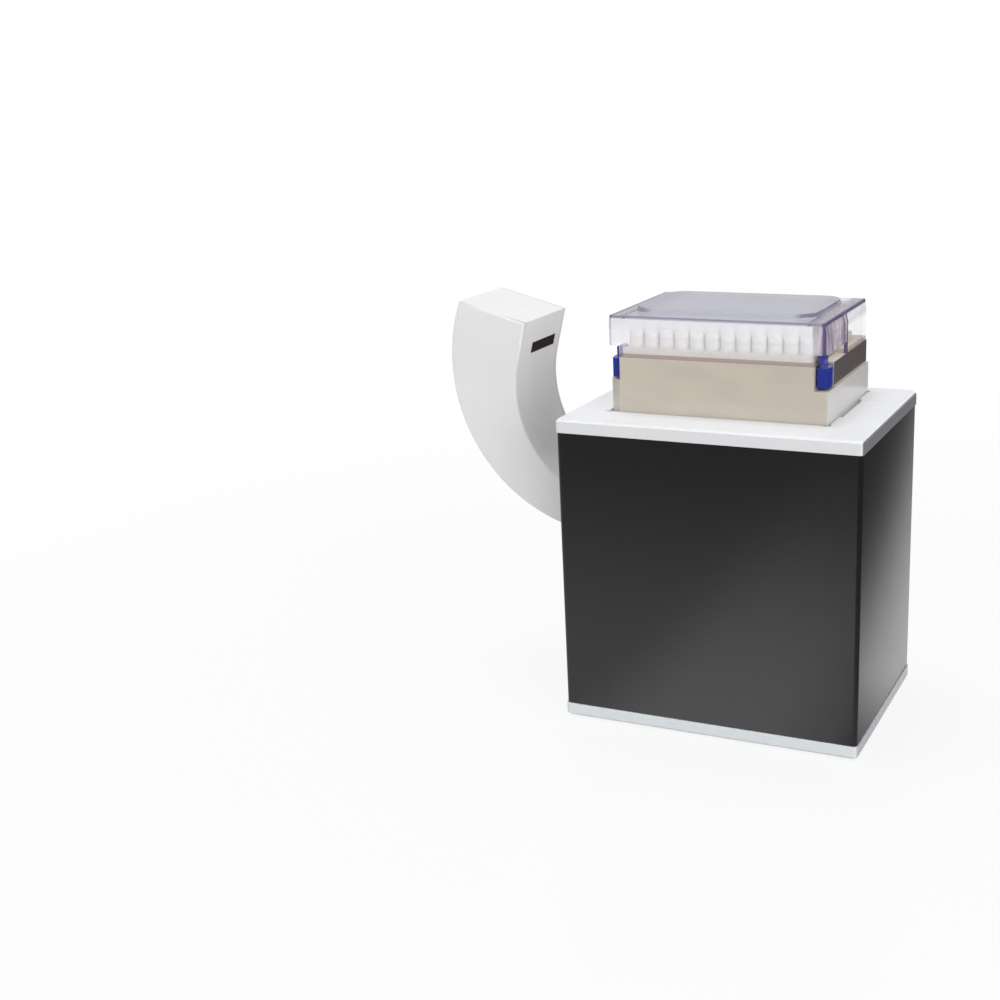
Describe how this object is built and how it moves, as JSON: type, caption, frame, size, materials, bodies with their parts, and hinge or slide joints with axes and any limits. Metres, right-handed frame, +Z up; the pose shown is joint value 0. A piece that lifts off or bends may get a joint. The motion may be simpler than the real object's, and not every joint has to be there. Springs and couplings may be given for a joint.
{
  "type": "rack barcode reader",
  "caption": "Desk reader for coded tube racks: black box with glass-floored nest in its white top, curved side-scanning arm, and a seated tube rack with clear latched lid.",
  "frame": {"origin": "middle of the base plate's underside", "axes": "+X to the right along the front, +Y from front to rear, +Z up"},
  "size_m": [0.263, 0.124, 0.2375],
  "materials": {
    "black_wrap": "satin",
    "white_plate": "satin",
    "rubber": "matt",
    "steel": "satin",
    "glass": "polished",
    "dark_case": "matt",
    "lens": "polished",
    "sheet_steel": "satin",
    "circuit": "satin",
    "led": "satin",
    "opal": "satin",
    "chip": "matt",
    "brass": "satin",
    "socket_steel": "satin",
    "arm_white": "fine grain",
    "window_red": "gloss",
    "rack_beige": "fine grain",
    "tube_white": "satin",
    "cap_white": "satin",
    "latch_blue": "gloss",
    "lid_clear": "polished"
  },
  "bodies": {
    "reader": {"housing_wrap": "black_wrap", "top_plate": "white_plate", "base_plate": "white_plate", "rubber_feet": "rubber", "base_screws": "steel", "corner_posts": "steel", "scan_glass": "glass", "glass_gasket": "rubber", "camera_body": "dark_case", "camera_lens": "dark_case", "lens_front": "lens", "camera_stand": "sheet_steel", "camera_screws": "steel", "lamp_board_left": "circuit", "lamp_board_right": "circuit", "lamp_leds": "led", "lamp_diffuser_left": "opal", "lamp_diffuser_right": "opal", "lamp_brackets": "sheet_steel", "main_board": "circuit", "board_chips": "chip", "board_spacers": "brass", "board_screws": "steel", "usb_socket": "socket_steel", "power_socket": "chip", "arm_shell": "arm_white", "arm_cover": "arm_white", "arm_cover_screws": "steel", "arm_window": "window_red", "arm_clamp": "sheet_steel", "arm_bolts": "steel", "arm_grommet": "rubber", "scan_engine": "dark_case", "engine_lens": "lens", "arm_board": "circuit", "arm_board_spacers": "brass"},
    "rack": {"rack_frame": "rack_beige", "rack_deck": "rack_beige", "rack_grid": "rack_beige", "tubes": "tube_white", "tube_caps": "cap_white", "latch_pins": "steel"},
    "lid": {"rack_lid": "lid_clear"},
    "left_latch": {"latch_left": "latch_blue"},
    "right_latch": {"latch_right": "latch_blue"}
  },
  "joints": [
    {"name": "rack_lift", "type": "slide", "parent": "reader", "child": "rack", "axis": [0, 0, 1], "range_m": [0, 0.06]},
    {"name": "lid_lift", "type": "slide", "parent": "rack", "child": "lid", "axis": [0, 0, 1], "range_m": [0, 0.045]},
    {"name": "left_latch_turn", "type": "hinge", "parent": "rack", "child": "left_latch", "pos_m": [-0.0628, -0.02349, 0.204], "axis": [0, -1, 0], "range_deg": [0, 10]},
    {"name": "right_latch_turn", "type": "hinge", "parent": "rack", "child": "right_latch", "pos_m": [0.0568, -0.02349, 0.204], "axis": [0, 1, 0], "range_deg": [0, 10]}
  ]
}
